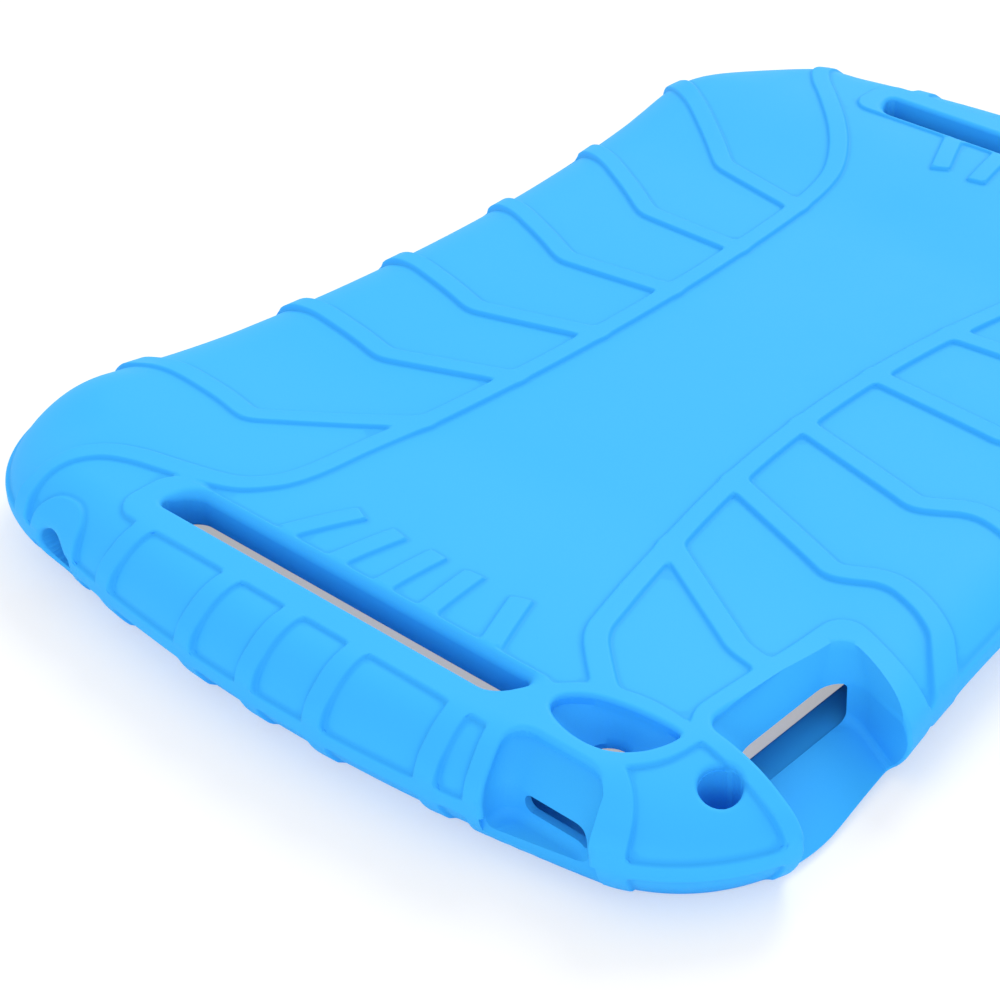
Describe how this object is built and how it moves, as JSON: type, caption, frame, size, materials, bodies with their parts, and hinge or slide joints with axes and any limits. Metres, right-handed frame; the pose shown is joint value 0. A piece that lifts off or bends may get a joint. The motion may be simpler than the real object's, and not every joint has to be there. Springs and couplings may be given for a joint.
{
  "type": "silicone tablet case",
  "caption": "Soft moulded silicone case for a small tablet, with raised grip ribs, waisted sides, strap slots and cut-outs for the camera, buttons and sockets.",
  "frame": {"origin": "centre of the case's footprint, on the surface it lies on", "axes": "+Z out of the back, X along the length with the camera at -X, Y across the width with the camera at -Y"},
  "size_m": [0.224, 0.1678, 0.0176],
  "materials": {
    "blue_silicone": "soft matte"
  },
  "bodies": {
    "root": {"silicone_shell": "blue_silicone"}
  },
  "joints": []
}
